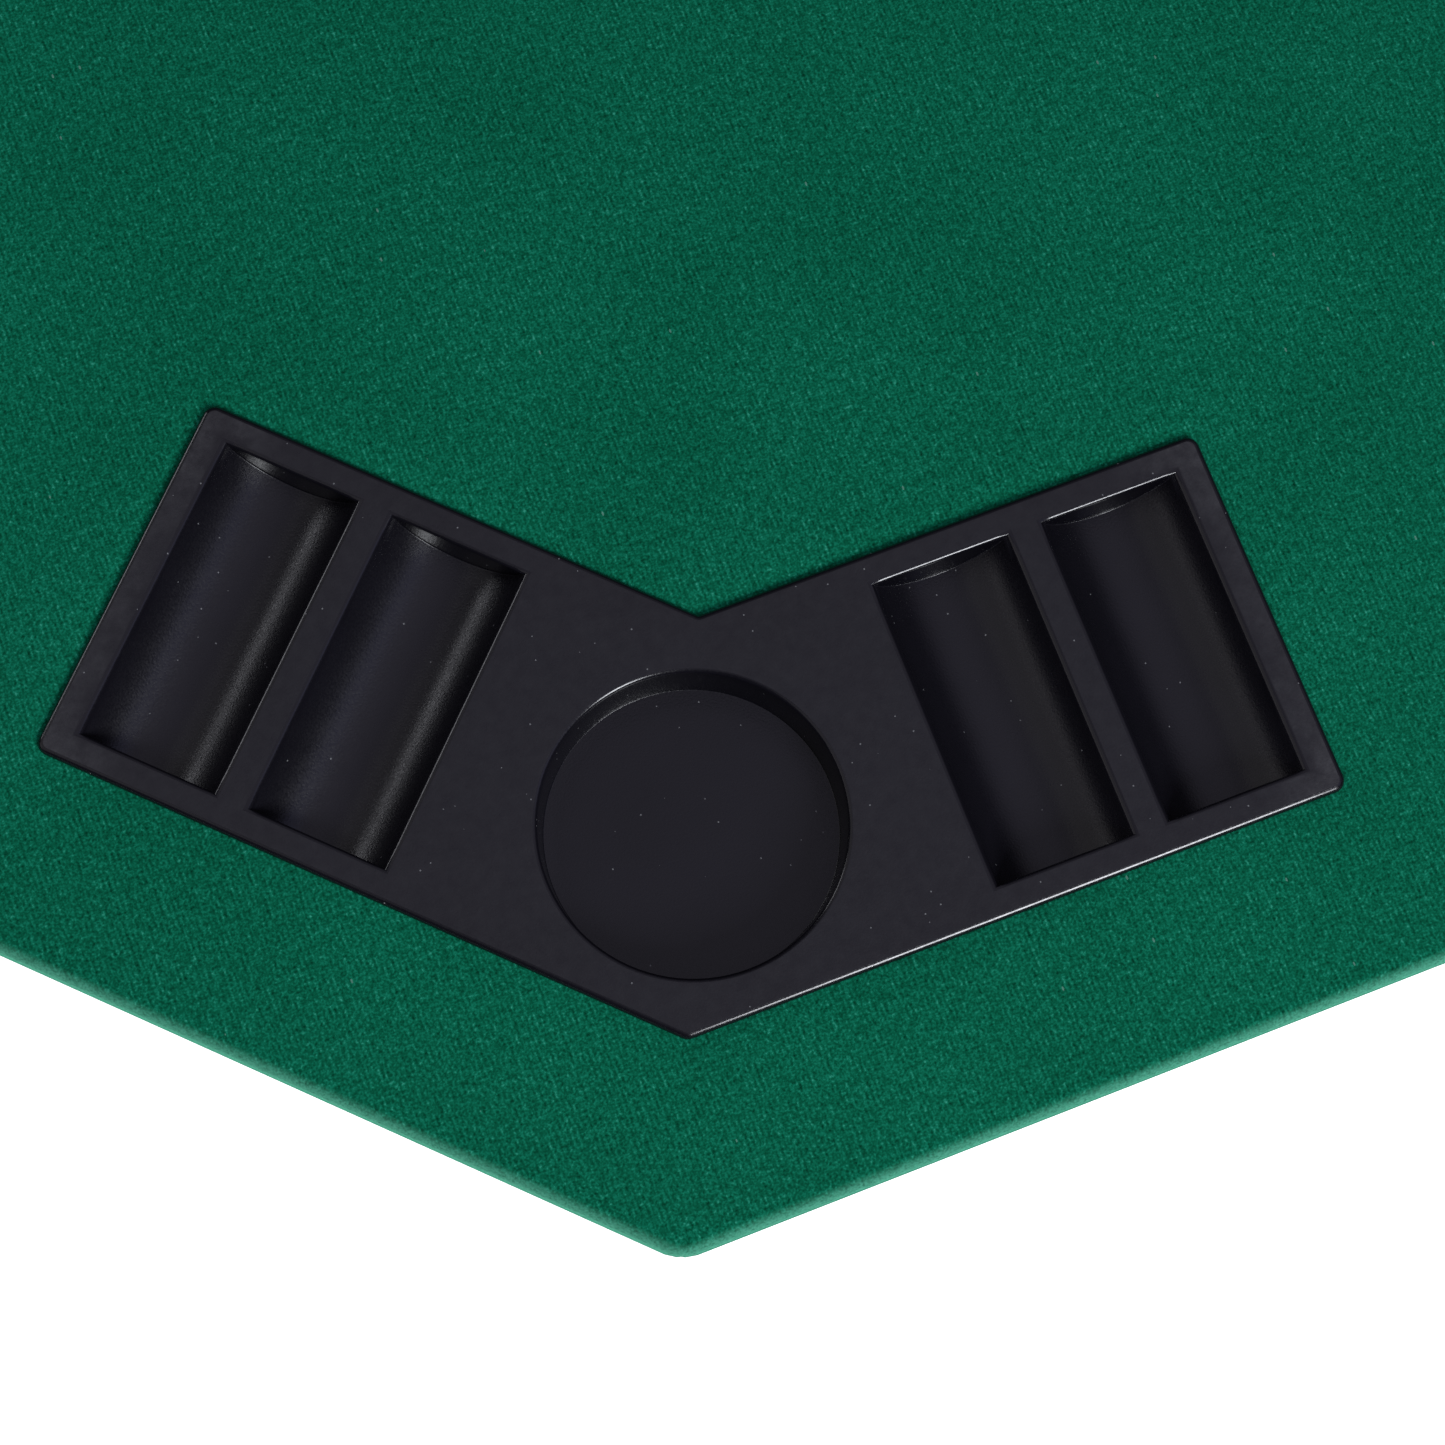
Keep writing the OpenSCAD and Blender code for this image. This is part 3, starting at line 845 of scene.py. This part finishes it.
def tray_material():
    """Fine-grained black plastic with dust, dulled and scuffed where the attribute is above 0, and with
    its grain burnished away where it is below 0; on the flange the haze is painted light too. Upright
    walls are smoother, and painted darker as painted shade."""
    g = Graph("tray_plastic")
    where = g.node("TexCoord").outputs["Object"]
    worn_and_painted_light = g.node("Attribute", attribute_name="wear_and_painted_light").outputs["Fac"]
    grain = g.noise(where, 1500.0, 2.0, 0.6)
    cloud = g.noise(where, 38.0, 4.0, 0.6)
    smear = g.noise(g.stretch(where, 60, 210, 60), 1.0, 5.0, 0.65)

    # Dust: small pale specks.
    dust = g.node("TexVoronoi", {"Vector": where, "Scale": 260.0}, feature="F1")
    spot = g.math("LESS_THAN", dust.outputs["Distance"], 0.06)
    chance = g.node("SeparateColor", {0: dust.outputs["Color"]}).outputs[0]
    spot = g.math("MULTIPLY", spot, g.math("GREATER_THAN", chance, 0.55))

    # Scratches that grow with the attribute, blotches where it is highest, and less grain where it is
    # burnished. On the flange the haze is painted light as well, making it paler than the pockets' floors.
    scratches = g.band(g.noise(where, 260.0, 5.0, 0.75), 0.35, 0.75, 0.35, 1.0)
    scuffs_and_painted_light = g.math("MULTIPLY", g.band(worn_and_painted_light, 0, 1), scratches)
    blotches = g.band(g.noise(where, 105.0, 6.0, 0.75), 0.47, 0.68)
    patch = g.math("MULTIPLY", g.band(worn_and_painted_light, 0.35, 0.85), blotches)
    burnish = g.band(worn_and_painted_light, -1.0, 0.0, 1.0, 0.0)
    relief = g.math("MULTIPLY", grain, g.band(worn_and_painted_light, -1.0, 0.0, 0.15, 1.0))

    # How upright the surface stands.
    facing = g.node("SeparateXYZ", {0: g.node("TexCoord").outputs["Normal"]}).outputs["Z"]
    upright = g.band(g.math("ABSOLUTE", facing), 0.1, 0.45, 1.0, 0.0)

    base = g.mix(g.band(cloud, 0.3, 0.7), (0.0046, 0.0043, 0.0066, 1), (0.0060, 0.0056, 0.0086, 1))
    # Painted shade: upright walls are painted darker.
    base = g.mix(g.math("MULTIPLY", upright, 0.6), base, (0.0010, 0.0010, 0.0022, 1))
    # Scratches, and painted light: the flange's haze paints it paler than the pockets' floors.
    base = g.mix(g.math("MULTIPLY", scuffs_and_painted_light, 0.9), base, (0.050, 0.050, 0.055, 1))
    base = g.mix(g.math("MULTIPLY", patch, 0.55), base, (0.072, 0.072, 0.078, 1))
    base = g.mix(g.math("MULTIPLY", spot, 0.8), base, (0.20, 0.205, 0.21, 1))

    rough = g.math("ADD", g.band(smear, 0.3, 0.75, 0.28, 0.31), g.math("MULTIPLY", scuffs_and_painted_light, 0.25))
    rough = g.math("ADD", rough, g.band(grain, 0.35, 0.65, -0.045, 0.045))
    smooth = g.math("MAXIMUM", g.math("MULTIPLY", upright, 0.14), g.math("MULTIPLY", burnish, 0.09))
    rough = g.math("SUBTRACT", rough, smooth)
    g.set(Base_Color=base, Roughness=rough, Normal=g.bump(relief, 0.09 * MM, 0.7), IOR=1.5)
    return g.material


def board_material():
    """Bare fibreboard: pressed fibres, cloudy, with dark specks."""
    g = Graph("fibreboard")
    where = g.node("TexCoord").outputs["Object"]
    fibre = g.noise(g.stretch(where, 900, 260, 900), 1.0, 6.0, 0.7)
    cloud = g.noise(where, 9.0, 4.0, 0.6)
    speck = g.noise(where, 1500.0, 2.0, 0.7)
    tone = g.math("MULTIPLY_ADD", fibre, 0.5, g.math("MULTIPLY", cloud, 0.5))
    colour = g.ramp(tone, [
        (0.3, (0.19, 0.115, 0.058)), (0.55, (0.30, 0.195, 0.105)), (0.8, (0.40, 0.28, 0.165)),
    ])
    colour = g.mix(g.band(speck, 0.62, 0.72, 0, 0.6), colour, (0.10, 0.06, 0.03, 1))
    g.set(
        Base_Color=colour, Roughness=g.band(fibre, 0.3, 0.7, 0.62, 0.82),
        Normal=g.bump(fibre, 0.06 * MM, 0.6), Specular_IOR_Level=0.3,
    )
    return g.material


def foam_material():
    """Pale closed-cell foam."""
    g = Graph("foam")
    where = g.node("TexCoord").outputs["Object"]
    cells = g.node("TexVoronoi", {"Vector": where, "Scale": 1400.0}, feature="F1").outputs["Distance"]
    colour = g.ramp(cells, [(0.1, (0.45, 0.44, 0.40)), (0.7, (0.72, 0.71, 0.67))])
    g.set(Base_Color=colour, Roughness=g.band(cells, 0, 1, 0.8, 0.95), Normal=g.bump(cells, 0.1 * MM, 0.5))
    return g.material


def rubber_material():
    """Black rubber with a faint bloom."""
    g = Graph("rubber")
    where = g.node("TexCoord").outputs["Object"]
    grain = g.noise(where, 1800.0, 4.0, 0.6)
    bloom = g.noise(where, 60.0, 4.0, 0.6)
    colour = g.mix(g.band(bloom, 0.4, 0.7), (0.014, 0.014, 0.015, 1), (0.035, 0.035, 0.036, 1))
    g.set(
        Base_Color=colour, Roughness=g.band(bloom, 0.3, 0.7, 0.6, 0.82),
        Normal=g.bump(grain, 0.04 * MM, 0.5), Specular_IOR_Level=0.35,
    )
    return g.material


def steel_material(name, tone, rough, brushed):
    """Plated or drawn steel. brushed stretches the fine lines along X."""
    g = Graph(name)
    where = g.node("TexCoord").outputs["Object"]
    lines = g.noise(g.stretch(where, 120 if brushed else 900, 3600, 3600), 1.0, 3.0, 0.6)
    stain = g.noise(where, 90.0, 5.0, 0.65)
    dark = tuple(c * 0.72 for c in tone)
    colour = g.mix(g.band(stain, 0.35, 0.7), (*tone, 1), (*dark, 1))
    drawn = g.band(lines, 0.3, 0.7, rough, rough + 0.14)
    dulled = g.band(stain, 0.5, 0.8, 0, 0.12)
    g.set(
        Base_Color=colour, Metallic=1.0, Roughness=g.math("ADD", drawn, dulled),
        Normal=g.bump(lines, 0.01 * MM, 0.5),
    )
    return g.material


def floor_material():
    """The stage's plain pale floor."""
    g = Graph("floor")
    where = g.node("TexCoord").outputs["Object"]
    faint = g.noise(where, 6.0, 2.0)
    colour = g.mix(faint, (0.90, 0.90, 0.90, 1), (0.93, 0.93, 0.93, 1))
    g.set(Base_Color=colour, Roughness=0.9, Emission_Color=(1, 1, 1, 1), Emission_Strength=0.8)
    return g.material


def dress_frame():
    """Gives every CAD node that stays in view its material, and softens the hard ones' edges. A
    name's ending tells the material and the edges' softening in millimetres."""
    nickel = steel_material("hinge_nickel", (0.62, 0.60, 0.56), 0.26, True)
    wire = steel_material("drawn_wire", (0.55, 0.54, 0.52), 0.3, True)
    screw = steel_material("screw_nickel", (0.66, 0.63, 0.57), 0.24, False)
    looks = {
        "board": (board_material(), 0.4),
        "foam": (foam_material(), 0),
        "staples": (wire, 0.12),
        "feet": (rubber_material(), 0.35),
        "screws": (screw, 0.12),
        "leaf": (nickel, 0.2),
        "pin": (wire, 0.3),
    }
    for name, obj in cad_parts.items():
        for ending, (material, soften) in looks.items():
            if name.endswith(ending):
                obj.data.materials.clear()
                obj.data.materials.append(material)
                if soften:
                    edge = obj.modifiers.new("Soften", "BEVEL")
                    edge.width = soften * MM
                    edge.segments = 2
                    edge.limit_method = "ANGLE"
                    edge.angle_limit = math.radians(40)


# ---- stage, lights and camera ----

# The camera, placed from the outer corner of the tray it looks at, in that tray's frame.
CAMERA_OFFSET = Vector((-13.5 * MM, -100.6 * MM, 818.2 * MM))
# It is turned by these degrees about X, Y and Z, and its lens is in millimetres.
CAMERA_TURN = (12.829, -1.758, 1.328)
CAMERA_TRAY = TRAY_ANGLES["front"][1]
LENS = 77.23

# Where the sky is brightest, as azimuth and elevation in that tray's frame, and its strength:
# from the first cosine of the angle away from there to the second, it goes from low to high.
SKY_BRIGHTEST = (25, 72)
SKY_RISE = (0.55, 1.0, 0.03, 0.38)

# Where the lamps are aimed, in that tray's frame: near the middle of its cup holder.
LIT = Vector((0, 0.06, 0))

# The floor reaches this far each way, and lies just under the feet.
FLOOR_REACH = 12.0
FLOOR_DROP = 0.1 * MM


def tray_frame(angle):
    """From a tray's own frame, its outer corner on the flange's top, to the table's."""
    a = math.radians(angle)
    corner = Vector((TRAY_REACH * math.cos(a), TRAY_REACH * math.sin(a), FLANGE_TOP))
    return Matrix.Translation(corner) @ Matrix.Rotation(a + math.pi / 2, 4, "Z")


def make_camera():
    """The camera, at the photograph's viewpoint."""
    data = bpy.data.cameras.new("camera")
    data.lens = LENS
    data.sensor_width = 36
    data.clip_end = 50
    camera = bpy.data.objects.new("camera", data)
    bpy.context.scene.collection.objects.link(camera)
    turn = Matrix.Rotation(math.radians(CAMERA_TURN[2]), 4, "Z")
    turn = turn @ Matrix.Rotation(math.radians(CAMERA_TURN[1]), 4, "Y")
    turn = turn @ Matrix.Rotation(math.radians(CAMERA_TURN[0]), 4, "X")
    camera.matrix_world = tray_frame(CAMERA_TRAY) @ Matrix.Translation(CAMERA_OFFSET) @ turn
    bpy.context.scene.camera = camera


def direction(azimuth, elevation):
    """The unit vector that points this way, both angles in degrees."""
    a, e = math.radians(azimuth), math.radians(elevation)
    return Vector((math.cos(e) * math.cos(a), math.cos(e) * math.sin(a), math.sin(e)))


def area_light(name, azimuth, elevation, far, size, power, colour):
    """A soft rectangular light aimed at LIT from this far, its direction in the viewed tray's
    frame."""
    data = bpy.data.lights.new(name, "AREA")
    data.shape = "RECTANGLE"
    data.size, data.size_y = size
    data.energy = power
    data.color = colour
    light = bpy.data.objects.new(name, data)
    bpy.context.scene.collection.objects.link(light)
    away = direction(azimuth, elevation)
    turn = away.to_track_quat("Z", "Y").to_matrix().to_4x4()
    light.matrix_world = tray_frame(CAMERA_TRAY) @ Matrix.Translation(LIT + away * far) @ turn


def studio_world():
    """Soft light that is brightest at one place overhead and dims away from it, with a plain pale
    backdrop in view."""
    world = bpy.data.worlds.new("studio")
    world.use_nodes = True
    tree = world.node_tree
    light = tree.nodes["Background"]
    light.inputs[0].default_value = (0.86, 0.82, 1.04, 1)
    where = tree.nodes.new("ShaderNodeTexCoord")
    toward = tree.nodes.new("ShaderNodeVectorMath")
    toward.operation = "DOT_PRODUCT"
    toward.inputs[1].default_value = tray_frame(CAMERA_TRAY).to_3x3() @ direction(*SKY_BRIGHTEST)
    rise = tree.nodes.new("ShaderNodeMapRange")
    rise.interpolation_type = "SMOOTHSTEP"
    for name, value in zip(("From Min", "From Max", "To Min", "To Max"), SKY_RISE):
        rise.inputs[name].default_value = value
    backdrop = tree.nodes.new("ShaderNodeBackground")
    backdrop.inputs[0].default_value = (0.95, 0.95, 0.95, 1)
    seen = tree.nodes.new("ShaderNodeLightPath")
    choice = tree.nodes.new("ShaderNodeMixShader")
    link = tree.links.new
    link(where.outputs["Generated"], toward.inputs[0])
    link(toward.outputs["Value"], rise.inputs["Value"])
    link(rise.outputs[0], light.inputs[1])
    link(seen.outputs["Is Camera Ray"], choice.inputs[0])
    link(light.outputs[0], choice.inputs[1])
    link(backdrop.outputs[0], choice.inputs[2])
    link(choice.outputs[0], tree.nodes["World Output"].inputs[0])
    return world


def make_stage():
    """The floor, the sky and the lamps: a strong key from the front right, and weaker ones."""
    mesh = bpy.data.meshes.new("floor")
    around = [(-1, -1), (1, -1), (1, 1), (-1, 1)]
    corners = [(x * FLOOR_REACH, y * FLOOR_REACH, -FLOOR_DROP) for x, y in around]
    mesh.from_pydata(corners, [], [(0, 1, 2, 3)])
    floor = bpy.data.objects.new("floor", mesh)
    bpy.context.scene.collection.objects.link(floor)
    floor.data.materials.append(floor_material())

    bpy.context.scene.world = studio_world()

    area_light("key", -52, 36, 3.0, (0.8, 1.3), 84, (0.92, 0.95, 1.0))
    area_light("window", -6, 46, 2.4, (1.0, 1.0), 0.8, (0.36, 0.42, 1.0))
    area_light("side", 146, 18, 2.4, (0.6, 0.6), 4.4, (0.92, 0.93, 1.0))
    area_light("fill", 181, 48, 2.4, (2.8, 1.7), 5.0, (0.97, 0.94, 1.0))
    area_light("glow", 187, 22, 2.4, (1.2, 0.6), 1.3, (0.97, 0.94, 1.0))
    bpy.context.scene.view_settings.view_transform = "Standard"


make_camera()
make_stage()
make_felt(felt_material())
make_trays(tray_material())
dress_frame()
